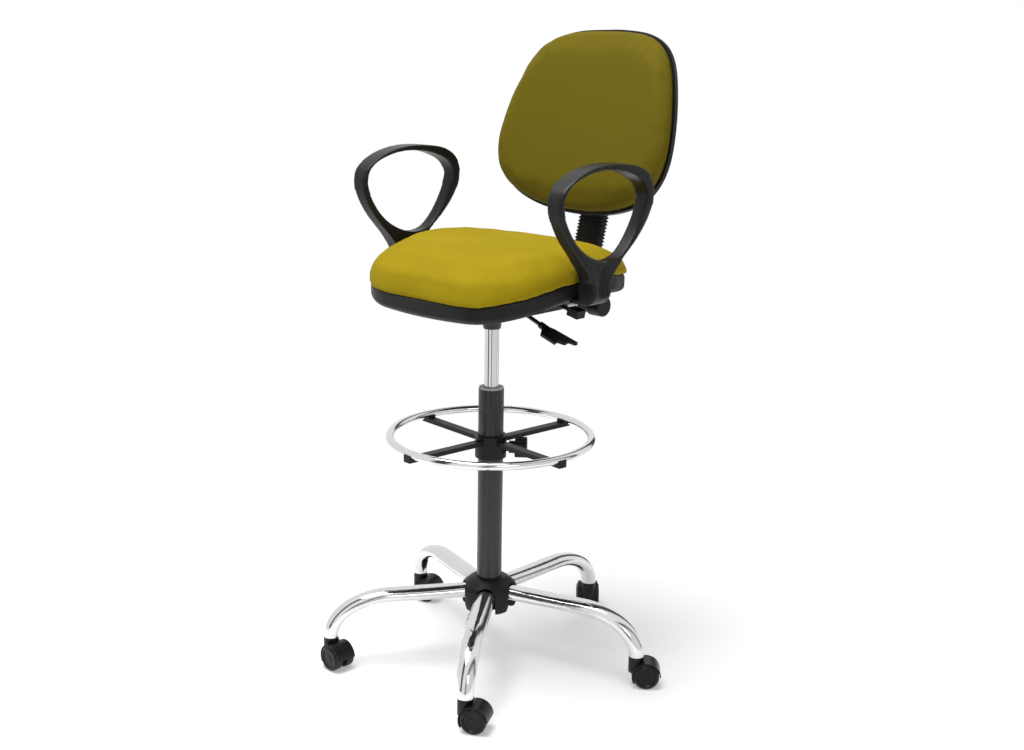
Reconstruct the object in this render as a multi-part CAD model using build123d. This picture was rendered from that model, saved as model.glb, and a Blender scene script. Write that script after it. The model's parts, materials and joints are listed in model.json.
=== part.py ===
from build123d import *
import os
from math import atan2, cos, degrees, radians, sin, sqrt, tan

# Drafting chair with a five-legged castor base, a gas lift, a sliding foot ring,
# loop armrests and a tilting, height-adjustable back.
# Millimetres. The origin is on the floor under the column, +Z is up, the sitter
# faces -Y, and the sitter's left hand is on the +X side.

# ---- fits ----
RUN_FIT = 0.05          # radial gap of a shaft that turns or slides in its bore
FREE_GAP = 0.4          # gap between faces that pass each other

# ---- castors ----
WHEEL_R = 25.0
WHEEL_W = 19.0
WHEEL_GAP = 0.6         # each side of the web
WEB_W = 9.0             # hood web between the two wheels
TRAIL = 20.0            # swivel axis to wheel axle
AXLE_R = 4.0
STEM_R = 5.5
HOOD_WALL = 2.6
HOOD_GAP = 0.9          # hood to tread
NECK_R = 15.0
NECK_TOP = 60.0
STEM_LOW = 48.5
STEM_GRIP = 20.0        # length of stem inside the leg's socket
CASTOR_HEADINGS = [133.0, 20.0, -2.0, 28.0, 40.0]   # where each castor trails

# ---- column ----
COLUMN_R = 25.0
COLUMN_WALL = 2.0
COLUMN_TOP = 562.0
END_PLATE_T = 3.0
BUSH_LOW = 478.0
BUSH_RIM = 3.0
BEARING_R = 13.0
BEARING_T = 6.0

# ---- base ----
LEG_COUNT = 5
LEG_FIRST = 90.0        # one leg points straight back
LEG_REACH = 320.0       # column axis to castor stem
LEG_TIP_Z = 62.0
LEG_TOP_Z = 142.0       # centreline of the level run
LEG_BEND_R = 200.0      # where the leg starts to turn down
LEG_WALL = 1.6
LEG_HUB_W, LEG_HUB_H = 35.0, 30.0
LEG_MID_W, LEG_MID_H = 42.0, 28.0
LEG_TIP_W, LEG_TIP_H = 32.0, 30.0
HUB_R = COLUMN_R + 8.0
HUB_LOW, HUB_TOP = 108.0, 168.0
COVER_R = HUB_R + 23.0
COVER_LOW, COVER_TOP = 103.0, 171.0
TUNNEL_R = 19.5

# ---- gas lift ----
LIFT_R = 14.0
LIFT_BORE = LIFT_R - 2.0
LIFT_LOW, LIFT_TOP = 430.0, 731.0
GLAND_T = 9.0
ROD_R = 5.0
PISTON_T = 14.0
BUTTON_R = 3.5
BUTTON_TOP = 737.0

# ---- foot ring ----
RING_R = 198.5
RING_TUBE_R = 8.0
RING_Z = 465.0
COLLAR_R = COLUMN_R + 6.0
COLLAR_LOW, COLLAR_TOP = 423.0, 468.0
COLLAR_GAP = 0.3
SPOKE_W, SPOKE_H = 18.0, 9.0
SPOKE_TOP = 459.0
SPOKE_FIRST = -6.0
SPOKE_COUNT = 4
RING_KNOB_ANGLE = 39.0
RING_KNOB_Z = 443.0
RING_KNOB_R = 20.5
RING_KNOB_OUT = 72.0
RING_SCREW_R = 4.0

# ---- mechanism under the seat ----
MECH_HALF_W = 52.0
MECH_WALL = 3.0
MECH_TOP = 760.0
MECH_LOW = 706.0
MECH_FRONT = -98.0
PLATE_T = 3.0
PLATE_HALF_X, PLATE_FRONT, PLATE_REAR = 88.0, -105.0, 125.0
CONE_LOW = 682.0
PIVOT_Y, PIVOT_Z = 172.0, 721.0
PIVOT_R = 6.0
SLEEVE_R = 15.0
CHEEK_R = 22.0

# ---- height lever ----
LEVER_X = 43.0          # pivot, measured from the column axis along the lever
LEVER_Z = 744.5
LEVER_SWING = -11.5     # the lever points this far forward of straight sideways
LEVER_DROP = 14.0       # the rod falls this steeply outside the pivot
LEVER_ROD_R = 4.0
LEVER_ROD_LENGTH = 142.0
GRIP_LENGTH, GRIP_W, GRIP_T = 72.0, 46.0, 5.0

# ---- back-lock lever and tension knob ----
LOCK_Y, LOCK_Z = 128.0, 722.0
LOCK_REACH = 104.0
KNOB_R = 20.5
KNOB_IN, KNOB_OUT = 100.0, 140.0
KNOB_NECK_R = 13.0

# ---- seat ----
SEAT_HALF_W, SEAT_HALF_D, SEAT_Y = 221.0, 205.0, 10.6
SEAT_CORNER_R = 125.0   # plan radius of the four corners
SEAT_SQUARE = 0.9       # where the side arcs would meet, as a share of the half sizes
SEAT_FLARE = 0.04       # the rear is this much wider than the middle
SEAM_Z, SEAM_RISE, SEAM_ARCH = 805.8, 12.3, -31.4
SHELL_DEPTH = 38.0
SHELL_WALL = 4.0
SHELL_EDGE_R = 12.0
BOARD_T = 12.0
CUSHION_T = 40.0
CUSHION_BULGE = 5.0
CUSHION_EDGE_R = 17.0

# ---- armrests ----
ARM_X = SEAT_HALF_W + 30.6
ARM_W = 40.0            # across the stem
ARM_BANDS = [(785, 40), (815, 34), (850, 28), (915, 27), (950, 32), (980, 38),
             (1005, 42), (1030, 42)]     # height, width of the band there
STEM_FRONT, STEM_REAR = -22.0, 25.0
FOOT_LOW = 764.0
FOOT_T = 9.0
FOOT_BEND = 24.0
FOOT_REACH = ARM_X - 101.6   # the foot reaches in to this X under the seat
ARM_OUTER = [(-22, 806), (-32, 822), (-54, 848), (-84, 880), (-108, 916), (-117, 948),
             (-110, 972), (-88, 991), (-46, 1008), (10, 1016), (60, 1014), (108, 1004),
             (137, 983), (148, 955), (145, 930), (124, 896), (96, 868), (68, 846),
             (42, 822), (26, 804)]
ARM_HOLE = [(30, 842), (-2, 846), (-34, 859), (-66, 882), (-88, 910), (-103, 942),
            (-104, 963), (-93, 981), (-66, 995), (-30, 1004), (10, 1006), (50, 1002),
            (92, 990), (121, 972), (130, 953), (124, 932), (112, 908), (95, 882),
            (76, 861), (55, 847)]

# ---- back ----
BACK_LEAN = 15.0
BACK_Y, BACK_Z = 251.6, 1000.0      # a point of the cushion's front plane, on X = 0
BACK_HALF = [(55, 262), (104, 254), (146, 233), (176, 199), (196, 151), (210, 98),
             (218, 42), (217, -6), (203, -45), (175, -76), (134, -97), (76, -111)]
BACK_CROWN, BACK_FOOT = 264.0, -116.0
BACK_HOLLOW = 26.0      # the back curves round the sitter by this much
BACK_CUSHION_FRONT, BACK_SEAM = -30.0, 2.0
BACK_BOARD_T = 9.0
BACK_SHELL_T = 14.0
BACK_SHELL_WALL = 5.0
BACK_SHELL_CHAMFER = 4.0
BACK_EDGE_R = 14.0
BACK_REACH = 300.0      # half-width of the slab that the outline is cut from
BAR_OFFSET = 81.5       # front plane of the back to the bar's centreline
BAR_W, BAR_T = 50.0, 8.0
BAR_TOP = 30.0          # above the reference point, along the lean
BAR_BEND_R = 55.0
BRACKET_W = 84.0
BRACKET_LOW, BRACKET_TOP = -60.0, 48.0
BELLOWS_LOW = -218.0
BELLOWS_W, BELLOWS_T = BAR_W + 16.0, BAR_T + 22.0
BELLOWS_PITCH = 7.0
BELLOWS_FOLD = 3.0
BACK_KNOB_R = 19.0

# The slab's arc passes through the rim, BACK_HOLLOW ahead of its middle.
BACK_ARC_R = (BACK_HALF[6][0] ** 2 + BACK_HOLLOW ** 2) / (2 * BACK_HOLLOW)
BACK_RISE = BACK_ARC_R - sqrt(BACK_ARC_R ** 2 - BACK_REACH ** 2)

PARTS = {}


def keep(name, shape):
    """Register one named sub-part."""
    PARTS[name] = shape


def rod(radius, start, end):
    """A round bar from one point to another."""
    a, b = Vector(*start), Vector(*end)
    along = b - a
    place = Plane(origin=a, z_dir=along)
    return place * Cylinder(radius, along.length, align=(Align.CENTER, Align.CENTER, Align.MIN))


def ring_wall(outer, inner, low, high):
    """An upright tube about the column axis."""
    tube = Pos(0, 0, low) * Cylinder(outer, high - low, align=(Align.CENTER, Align.CENTER, Align.MIN))
    hole = Pos(0, 0, low - 1) * Cylinder(inner, high - low + 2,
                                         align=(Align.CENTER, Align.CENTER, Align.MIN))
    return tube - hole


def disc(radius, low, high):
    """An upright cylinder about the column axis."""
    return Pos(0, 0, low) * Cylinder(radius, high - low, align=(Align.CENTER, Align.CENTER, Align.MIN))


def block(x0, x1, y0, y1, z0, z1):
    """A box given by its limits."""
    return Pos((x0 + x1) / 2, (y0 + y1) / 2, (z0 + z1) / 2) * Box(x1 - x0, y1 - y0, z1 - z0)


def turn(angle):
    """A turn about the column axis."""
    return Rot(0, 0, angle)


def side_profile(face, x0, x1):
    """Extrude a face drawn in (Y, Z) from x0 to x1."""
    return Pos(x0, 0, 0) * extrude(Plane.YZ * face, x1 - x0)


def group(shapes):
    """Separate solids that share one node."""
    return Compound(children=list(shapes))


# ---------------------------------------------------------------- castors

def castor_hood():
    """Hood over the top of the wheels, with the web between them and the neck."""
    shell_r = WHEEL_R + HOOD_GAP + HOOD_WALL
    hood_w = WEB_W + 2 * (WHEEL_GAP + WHEEL_W) - 6.0
    drum = Pos(TRAIL, 0, WHEEL_R) * Rot(90, 0, 0) * Cylinder(shell_r, hood_w)
    neck = Pos(0, 0, WHEEL_R + 4) * Cylinder(NECK_R, NECK_TOP - WHEEL_R - 4,
                                             align=(Align.CENTER, Align.CENTER, Align.MIN))
    brow = block(0, TRAIL - 4, -NECK_R, NECK_R, WHEEL_R + 8, WHEEL_R + shell_r - 2)
    body = drum + neck + brow
    below = Pos(TRAIL, 0, WHEEL_R - 7) * Rot(0, -16, 0) * Box(
        4 * shell_r, 2 * hood_w, 2 * shell_r, align=(Align.CENTER, Align.CENTER, Align.MAX))
    axle_boss = Pos(TRAIL, 0, WHEEL_R) * Rot(90, 0, 0) * Cylinder(AXLE_R + 4.5, WEB_W)
    body = (body - below) + axle_boss
    for side in (-1, 1):
        body -= Pos(TRAIL, side * (WEB_W / 2 + 20), WHEEL_R) * Rot(90, 0, 0) * Cylinder(
            WHEEL_R + HOOD_GAP, 40)
    body -= Pos(TRAIL, 0, WHEEL_R) * Rot(90, 0, 0) * Cylinder(AXLE_R, 2 * WEB_W)
    body -= Pos(0, 0, STEM_LOW) * Cylinder(STEM_R, 40, align=(Align.CENTER, Align.CENTER, Align.MIN))
    return body


def castor_wheel(side):
    """One wheel with a rounded tread, a dished face and a blind bore."""
    half = WHEEL_W / 2
    section = make_face(Polyline(
        (0, -half), (WHEEL_R - 2.5, -half), (WHEEL_R, -half + 2.5), (WHEEL_R, half - 3.5),
        (WHEEL_R - 3.5, half), (WHEEL_R - 7, half), (WHEEL_R - 8.5, half - 2.0),
        (8, half - 2.0), (6.5, half - 0.8), (0, half - 0.8), (0, -half)))
    wheel = revolve(Plane.XZ * section, Axis.Z)
    bore_depth = WHEEL_W - 4.0
    wheel -= Pos(0, 0, -half) * Cylinder(AXLE_R + RUN_FIT, bore_depth,
                                         align=(Align.CENTER, Align.CENTER, Align.MIN))
    centre = side * (WEB_W / 2 + WHEEL_GAP + half)
    return Pos(TRAIL, centre, WHEEL_R) * Rot(-90 * side, 0, 0) * wheel


def castor_pins():
    """The swivel stem and the axle."""
    stem = Pos(0, 0, STEM_LOW) * Cylinder(
        STEM_R, LEG_TIP_Z + STEM_GRIP - STEM_LOW, align=(Align.CENTER, Align.CENTER, Align.MIN))
    axle_half = WEB_W / 2 + WHEEL_GAP + WHEEL_W - 5.0
    axle = rod(AXLE_R, (TRAIL, -axle_half, WHEEL_R), (TRAIL, axle_half, WHEEL_R))
    return group([stem, axle])


# ---------------------------------------------------------------- base

def leg_section(x, z, fall, wide, high, wall):
    """An oval across the leg where its centreline falls at the given angle."""
    along = (cos(radians(fall)), 0, -sin(radians(fall)))
    place = Plane(origin=(x, 0, z), x_dir=(0, 1, 0), z_dir=along)
    return place * Ellipse(wide / 2 - wall, high / 2 - wall)


def leg_solid(wall):
    """A leg's outer form, or its bore when a wall is given."""
    start = HUB_R - 12
    middle = start + 0.55 * (LEG_BEND_R - start)
    level = [(start, LEG_HUB_W, LEG_HUB_H), (middle, LEG_MID_W, LEG_MID_H),
             (LEG_BEND_R, LEG_MID_W, LEG_MID_H)]
    run = loft([leg_section(x, LEG_TOP_Z, 0, wide, high, wall) for x, wide, high in level])
    # The end is a quarter of an ellipse, from level to upright.
    reach, drop = LEG_REACH - LEG_BEND_R, LEG_TOP_Z - LEG_TIP_Z
    bends = []
    for k in range(6):
        t = radians(18 * k)
        fall = degrees(atan2(drop * sin(t), reach * cos(t)))
        wide = LEG_MID_W + (LEG_TIP_W - LEG_MID_W) * k / 5
        high = LEG_MID_H + (LEG_TIP_H - LEG_MID_H) * k / 5
        bends.append(leg_section(LEG_BEND_R + reach * sin(t), LEG_TIP_Z + drop * cos(t),
                                 fall, wide, high, wall))
    return run + loft(bends)


def leg_tube():
    """One chromed oval tube, open at the tip."""
    tube = leg_solid(0) - leg_solid(LEG_WALL)
    return tube - disc(HUB_R, HUB_LOW - 20, HUB_TOP + 20)


def leg_socket():
    """Plastic plug in the leg's tip that grips the castor stem."""
    plug = leg_solid(LEG_WALL) & Pos(LEG_REACH, 0, LEG_TIP_Z) * Box(
        80, 80, STEM_GRIP + 3, align=(Align.CENTER, Align.CENTER, Align.MIN))
    bore = Pos(LEG_REACH, 0, LEG_TIP_Z - 1) * Cylinder(
        STEM_R + RUN_FIT, STEM_GRIP + 1.5, align=(Align.CENTER, Align.CENTER, Align.MIN))
    return plug - bore


def hub_cover():
    """Five-lobed moulding over the leg roots, arched over each leg."""
    skirt = COVER_TOP - 26
    section = make_face(
        Polyline((0, COVER_LOW), (COVER_R - 9, COVER_LOW), (COVER_R - 3, COVER_LOW + 5),
                 (COVER_R, COVER_LOW + 16), (COVER_R, skirt))
        + Spline((COVER_R, skirt), (COVER_R - 9, COVER_TOP - 11), (COLUMN_R + 4, COVER_TOP),
                 tangents=((0, 1), (-1, 0.15)))
        + Polyline((COLUMN_R + 4, COVER_TOP), (0, COVER_TOP), (0, COVER_LOW)))
    cover = revolve(Plane.XZ * section, Axis.Z)
    cover -= disc(HUB_R, COVER_LOW - 1, HUB_TOP)
    cover -= disc(COLUMN_R, HUB_TOP - 1, COVER_TOP + 1)
    arch_z = LEG_TOP_Z - 2
    tunnel = rod(TUNNEL_R, (HUB_R - 8, 0, arch_z), (COVER_R + 20, 0, arch_z))
    tunnel += block(HUB_R - 8, COVER_R + 20, -TUNNEL_R, TUNNEL_R, COVER_LOW - 10, arch_z)
    for k in range(LEG_COUNT):
        cover -= turn(LEG_FIRST + 360 / LEG_COUNT * k) * tunnel
    return cover


def thrust_bearing(low):
    """Two washers with a ball cage between them."""
    bore = ROD_R + 0.4
    lower = ring_wall(BEARING_R, bore, low, low + 1.5)
    cage = ring_wall(BEARING_R - 1.5, bore + 1.0, low + 1.5, low + BEARING_T - 1.5)
    upper = ring_wall(BEARING_R, bore, low + BEARING_T - 1.5, low + BEARING_T)
    return group([lower, cage, upper])


def make_base():
    """Hub, legs, sockets, column tube and the fixed parts inside it."""
    inner = COLUMN_R - COLUMN_WALL
    keep("hub_core", ring_wall(HUB_R, COLUMN_R, HUB_LOW, HUB_TOP))
    keep("hub_cover", hub_cover())
    angles = [LEG_FIRST + 360 / LEG_COUNT * k for k in range(LEG_COUNT)]
    leg, socket = leg_tube(), leg_socket()
    keep("legs", group([turn(a) * leg for a in angles]))
    keep("castor_sockets", group([turn(a) * socket for a in angles]))
    keep("column_tube", ring_wall(COLUMN_R, inner, HUB_LOW, COLUMN_TOP))
    keep("column_end_plate", ring_wall(inner, ROD_R + 0.4, HUB_LOW, HUB_LOW + END_PLATE_T))
    keep("thrust_bearing", thrust_bearing(HUB_LOW + END_PLATE_T))
    bush = ring_wall(inner, LIFT_R + RUN_FIT, BUSH_LOW, COLUMN_TOP)
    rim = ring_wall(COLUMN_R - 1.0, LIFT_R + RUN_FIT, COLUMN_TOP, COLUMN_TOP + BUSH_RIM)
    keep("guide_bush", bush + rim)
    hood, pins = castor_hood(), castor_pins()
    for k, angle in enumerate(angles):
        place = turn(angle) * Pos(LEG_REACH, 0, 0) * turn(CASTOR_HEADINGS[k] - angle)
        keep(f"castor_{k + 1}_hood", place * hood)
        keep(f"castor_{k + 1}_pins", place * pins)
        keep(f"castor_{k + 1}_wheel_a", place * castor_wheel(1))
        keep(f"castor_{k + 1}_wheel_b", place * castor_wheel(-1))


# ---------------------------------------------------------------- gas lift

def make_gas_lift():
    """Piston rod that turns in the column, and the cylinder that slides on it."""
    shoulder = HUB_LOW + END_PLATE_T + BEARING_T + FREE_GAP
    piston_low = LIFT_LOW + GLAND_T + 1.0
    clip_top = HUB_LOW - FREE_GAP
    stalk = disc(ROD_R, clip_top - 3.5, piston_low + PISTON_T)
    collar = disc(ROD_R + 4, shoulder, shoulder + 4)
    piston = disc(LIFT_BORE - RUN_FIT, piston_low, piston_low + PISTON_T)
    groove = ring_wall(ROD_R + 1, ROD_R - 1, clip_top - 2.0, clip_top)
    keep("piston_rod", stalk + collar + piston - groove)
    clip = ring_wall(ROD_R + 3.5, ROD_R - 1, clip_top - 2.0, clip_top)
    keep("rod_clip", clip - block(0, 12, -1.8, 1.8, clip_top - 3, clip_top + 1))

    body = disc(LIFT_R, LIFT_LOW, LIFT_TOP) - disc(LIFT_BORE, LIFT_LOW - 1, LIFT_TOP - 24)
    body -= disc(BUTTON_R + RUN_FIT, LIFT_TOP - 25, LIFT_TOP + 1)
    body -= ring_wall(LIFT_R + 1, LIFT_R - 0.5, 606.0, 607.5)
    gland = ring_wall(LIFT_BORE, ROD_R + RUN_FIT, LIFT_LOW, LIFT_LOW + GLAND_T)
    keep("gas_cylinder", group([body, gland]))
    keep("valve_button", disc(BUTTON_R, LIFT_TOP - 18, BUTTON_TOP))


# ---------------------------------------------------------------- foot ring

def make_foot_ring():
    """Chromed hoop on four spokes, with a collar that slides on the column."""
    hoop = Pos(0, 0, RING_Z) * Torus(RING_R, RING_TUBE_R)
    keep("foot_ring_hoop", hoop)
    bore = COLUMN_R + COLLAR_GAP
    angle = RING_KNOB_ANGLE
    collar = ring_wall(COLLAR_R, bore, COLLAR_LOW, COLLAR_TOP)
    boss = rod(9.0, (bore + 1, 0, RING_KNOB_Z), (COLLAR_R + 5, 0, RING_KNOB_Z))
    collar += turn(angle) * (boss - disc(bore, COLLAR_LOW, COLLAR_TOP))
    collar -= turn(angle) * rod(RING_SCREW_R + RUN_FIT, (0, 0, RING_KNOB_Z), (60, 0, RING_KNOB_Z))
    keep("foot_ring_collar", collar)
    tip = RING_R + RING_TUBE_R + 1.5
    bar = block(COLLAR_R - 2, tip, -SPOKE_W / 2, SPOKE_W / 2, SPOKE_TOP - SPOKE_H, SPOKE_TOP)
    saddle = block(RING_R - 11, tip, -SPOKE_W / 2, SPOKE_W / 2, SPOKE_TOP - SPOKE_H, RING_Z)
    spoke = bar + saddle - disc(COLLAR_R, COLLAR_LOW, COLLAR_TOP) - hoop
    turns = [SPOKE_FIRST + 360 / SPOKE_COUNT * k for k in range(SPOKE_COUNT)]
    keep("foot_ring_spokes", group([turn(a) * spoke for a in turns]))
    neck = COLLAR_R + 5 + FREE_GAP
    screw = rod(RING_SCREW_R, (bore + FREE_GAP, 0, RING_KNOB_Z), (neck + 4, 0, RING_KNOB_Z))
    hilt = rod(RING_KNOB_R - 8, (neck, 0, RING_KNOB_Z), (neck + 12, 0, RING_KNOB_Z))
    head = rod(RING_KNOB_R, (neck + 12, 0, RING_KNOB_Z), (RING_KNOB_OUT, 0, RING_KNOB_Z))
    for k in range(8):
        around = radians(45 * k)
        y = (RING_KNOB_R + 2.5) * cos(around)
        z = RING_KNOB_Z + (RING_KNOB_R + 2.5) * sin(around)
        head -= rod(5.0, (neck + 11, y, z), (RING_KNOB_OUT + 1, y, z))
    keep("foot_ring_knob", turn(angle) * (screw + hilt + head))


# ---------------------------------------------------------------- mechanism

def lever_frame():
    """Plane of the height lever: origin on the column axis, X outwards along it."""
    return turn(LEVER_SWING)


def make_mechanism():
    """Pressed housing under the seat, with the taper for the cylinder."""
    front_low = MECH_FRONT + 48
    outline = make_face(Polyline(
        (MECH_FRONT, MECH_TOP), (MECH_FRONT, MECH_TOP - 18), (front_low, MECH_LOW),
        (PIVOT_Y, MECH_LOW), (PIVOT_Y, MECH_TOP - 12), (PIVOT_Y - 10, MECH_TOP),
        (MECH_FRONT, MECH_TOP)))
    solid = side_profile(outline, -MECH_HALF_W, MECH_HALF_W)
    cheek = rod(CHEEK_R, (-MECH_HALF_W, PIVOT_Y, PIVOT_Z), (MECH_HALF_W, PIVOT_Y, PIVOT_Z))
    hollow = block(-MECH_HALF_W + MECH_WALL, MECH_HALF_W - MECH_WALL,
                   MECH_FRONT + MECH_WALL, PIVOT_Y + 60, MECH_LOW + MECH_WALL, MECH_TOP + 1)
    hollow &= side_profile(make_face(Polyline(
        (MECH_FRONT + 4, MECH_TOP + 1), (MECH_FRONT + 4, MECH_TOP - 16),
        (front_low + 2, MECH_LOW + MECH_WALL), (PIVOT_Y + 60, MECH_LOW + MECH_WALL),
        (PIVOT_Y + 60, MECH_TOP + 1), (MECH_FRONT + 4, MECH_TOP + 1))), -200, 200)
    rear_gap = block(-MECH_HALF_W + MECH_WALL, MECH_HALF_W - MECH_WALL, PIVOT_Y - 46,
                     PIVOT_Y + 60, MECH_LOW - 60, MECH_TOP + 1)
    cone = Pos(0, 0, CONE_LOW) * Cone(LIFT_R + 3, LIFT_R + 7, MECH_LOW - CONE_LOW + 1,
                                      align=(Align.CENTER, Align.CENTER, Align.MIN))
    socket = cone + disc(LIFT_R + 7, MECH_LOW, LIFT_TOP - 6)
    housing = (solid + cheek - hollow - rear_gap) + socket
    housing -= disc(LIFT_R, CONE_LOW - 1, LIFT_TOP + 1)
    housing -= rod(PIVOT_R, (-100, PIVOT_Y, PIVOT_Z), (100, PIVOT_Y, PIVOT_Z))
    slot = rod(LEVER_ROD_R + 7, (30, 0, LEVER_Z), (90, 0, LEVER_Z))
    housing -= lever_frame() * slot
    housing -= rod(9.0, (30, LOCK_Y, LOCK_Z), (90, LOCK_Y, LOCK_Z))
    keep("mechanism_housing", housing)

    plate = block(-PLATE_HALF_X, PLATE_HALF_X, PLATE_FRONT, PLATE_REAR, MECH_TOP, MECH_TOP + PLATE_T)
    holes = [(sx * (PLATE_HALF_X - 14), y) for sx in (-1, 1) for y in (PLATE_FRONT + 16, PLATE_REAR - 16)]
    bolts = []
    for x, y in holes:
        plate -= rod(3.0, (x, y, MECH_TOP - 1), (x, y, MECH_TOP + PLATE_T + 1))
        bolts.append(rod(3.0, (x, y, MECH_TOP), (x, y, MECH_TOP + 26))
                     + rod(6.0, (x, y, MECH_TOP - 4.5), (x, y, MECH_TOP)))
    keep("mechanism_plate", plate)
    keep("mechanism_bolts", group(bolts))

    reach = MECH_HALF_W + 4
    bolt = rod(PIVOT_R, (-reach, PIVOT_Y, PIVOT_Z), (KNOB_IN + 16, PIVOT_Y, PIVOT_Z))
    head = rod(11.0, (-reach - 7, PIVOT_Y, PIVOT_Z), (-reach, PIVOT_Y, PIVOT_Z))
    washer = rod(14.0, (-reach, PIVOT_Y, PIVOT_Z), (-MECH_HALF_W, PIVOT_Y, PIVOT_Z))
    keep("tilt_bolt", bolt + head + washer)
    spacer = rod(17.0, (MECH_HALF_W, PIVOT_Y, PIVOT_Z), (KNOB_IN - 16, PIVOT_Y, PIVOT_Z))
    washer = rod(SLEEVE_R + 2, (BAR_W / 2 + 14.5, PIVOT_Y, PIVOT_Z),
                 (MECH_HALF_W - MECH_WALL, PIVOT_Y, PIVOT_Z))
    bore = rod(PIVOT_R, (0, PIVOT_Y, PIVOT_Z), (200, PIVOT_Y, PIVOT_Z))
    washer -= bore
    keep("friction_washers", group([washer, mirror(washer, Plane.YZ), spacer - bore]))
    return holes


def make_levers():
    """Height lever with its paddle, the short back-lock lever and the tension knob."""
    frame = lever_frame()
    inner = rod(LEVER_ROD_R, (0, 0, LEVER_Z), (LEVER_X, 0, LEVER_Z))
    pad_low = BUTTON_TOP + 0.3
    pad = block(-8, 8, -6, 6, pad_low, LEVER_Z)
    down = tan(radians(LEVER_DROP))
    reach = LEVER_ROD_LENGTH * cos(radians(LEVER_DROP))
    end = (LEVER_X + reach, 0, LEVER_Z - reach * down)
    ball = Pos(LEVER_X, 0, LEVER_Z) * Sphere(LEVER_ROD_R)
    outer = rod(LEVER_ROD_R, (LEVER_X, 0, LEVER_Z), end)
    pin_bore = rod(1.5 + RUN_FIT, (LEVER_X, -10, LEVER_Z), (LEVER_X, 10, LEVER_Z))
    keep("height_lever", frame * (inner + pad + ball + outer - pin_bore))

    # The paddle's outline, along the lever then across it, with a scalloped end.
    half = GRIP_W / 2
    edge = (Polyline((0, -7), (22, -half - 4), (GRIP_LENGTH - 8, -half - 1))
            + Spline((GRIP_LENGTH - 8, -half - 1), (GRIP_LENGTH - 12, -half / 2),
                     (GRIP_LENGTH - 3, -half / 4), (GRIP_LENGTH - 7, half / 4),
                     (GRIP_LENGTH + 2, half / 2), (GRIP_LENGTH + 2, half - 3))
            + Polyline((GRIP_LENGTH + 2, half - 3), (14, half - 11), (0, 7), (0, -7)))
    paddle = extrude(make_face(edge), GRIP_T)
    hilt = Pos(-14, 0, GRIP_T / 2) * Rot(0, 90, 0) * Cylinder(
        LEVER_ROD_R + 2.5, 34, align=(Align.CENTER, Align.CENTER, Align.MIN))
    bore = Pos(-20, 0, GRIP_T / 2) * Rot(0, 90, 0) * Cylinder(
        LEVER_ROD_R, 200, align=(Align.CENTER, Align.CENTER, Align.MIN))
    grip = Pos(*end) * Rot(0, LEVER_DROP, 0) * Pos(-12, 0, -GRIP_T / 2) * (paddle + hilt)
    keep("height_lever_grip", frame * (grip - outer))

    pin = rod(1.5, (LEVER_X, -9.5, LEVER_Z), (LEVER_X, 9.5, LEVER_Z))
    lug = block(LEVER_X - 4, LEVER_X + 4, LEVER_ROD_R + 1.5, LEVER_ROD_R + 4, LEVER_Z - 5, MECH_TOP)
    lugs = [lug - pin, mirror(lug, Plane.XZ) - pin]
    keep("lever_hanger", group([frame * part for part in lugs + [pin]]))

    lock_rod = rod(4.0, (MECH_HALF_W - 16, LOCK_Y, LOCK_Z), (LOCK_REACH - 10, LOCK_Y, LOCK_Z - 9))
    tab = Pos(LOCK_REACH, LOCK_Y, LOCK_Z - 12) * Rot(0, 12, 0) * Box(27, 24, 16)
    keep("lock_lever", group([lock_rod - tab, tab - lock_rod]))

    bell = rod(KNOB_R, (KNOB_IN + 6, PIVOT_Y, PIVOT_Z), (KNOB_OUT, PIVOT_Y, PIVOT_Z))
    bell = fillet(bell.edges(), 4.0)
    hilt = rod(KNOB_NECK_R + 4, (KNOB_IN - 15, PIVOT_Y, PIVOT_Z), (KNOB_IN + 8, PIVOT_Y, PIVOT_Z))
    knob = bell + hilt - rod(PIVOT_R + RUN_FIT, (0, PIVOT_Y, PIVOT_Z), (KNOB_IN + 17, PIVOT_Y, PIVOT_Z))
    keep("tension_knob", knob)


# ---------------------------------------------------------------- seat

def seat_outline(inset):
    """Plan outline of the seat: four shallow arcs with round corners, wider at the rear."""
    wide, deep = SEAT_HALF_W - inset, SEAT_HALF_D - inset
    reach = SEAT_SQUARE * deep
    front_x = SEAT_SQUARE * wide * (1 - SEAT_FLARE / 2)
    rear_x = SEAT_SQUARE * wide * (1 + SEAT_FLARE)
    front_y, rear_y = SEAT_Y - reach, SEAT_Y + reach
    left = ThreePointArc((front_x, front_y), (wide, SEAT_Y), (rear_x, rear_y))
    rear = ThreePointArc((rear_x, rear_y), (0, SEAT_Y + deep), (-rear_x, rear_y))
    right = ThreePointArc((-rear_x, rear_y), (-wide, SEAT_Y), (-front_x, front_y))
    front = ThreePointArc((-front_x, front_y), (0, SEAT_Y - deep), (front_x, front_y))
    face = make_face(left + rear + right + front)
    return fillet(face.vertices(), SEAT_CORNER_R - inset)


def seam_arc(lift, rise=SEAM_RISE, arch=SEAM_ARCH):
    """Arc from front to rear along the seam, raised by a given height."""
    points = []
    for share in (-1, 0, 1):
        points.append((SEAT_Y + SEAT_HALF_D * share, SEAM_Z + lift + rise * share + arch * share * share))
    return ThreePointArc(*points)


def arched_prism(lower, upper, reach=300):
    """Everything between two arcs drawn front to rear, out to a given half-width."""
    rear = Line(upper @ 1, lower @ 1)
    front = Line(lower @ 0, upper @ 0)
    return side_profile(make_face(upper + rear + lower + front), -reach, reach)


def curved_slab(inset, low, high):
    """The seat's plan outline between two heights above the seam."""
    plan = Pos(0, 0, SEAM_Z - 200) * extrude(seat_outline(inset), 400)
    return plan & arched_prism(seam_arc(low), seam_arc(high))


def top_edges(solid):
    """Edges round the upper face."""
    return solid.faces().sort_by(Axis.Z)[-1].edges()


def bottom_edges(solid):
    """Edges round the lower face."""
    return solid.faces().sort_by(Axis.Z)[0].edges()


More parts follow.
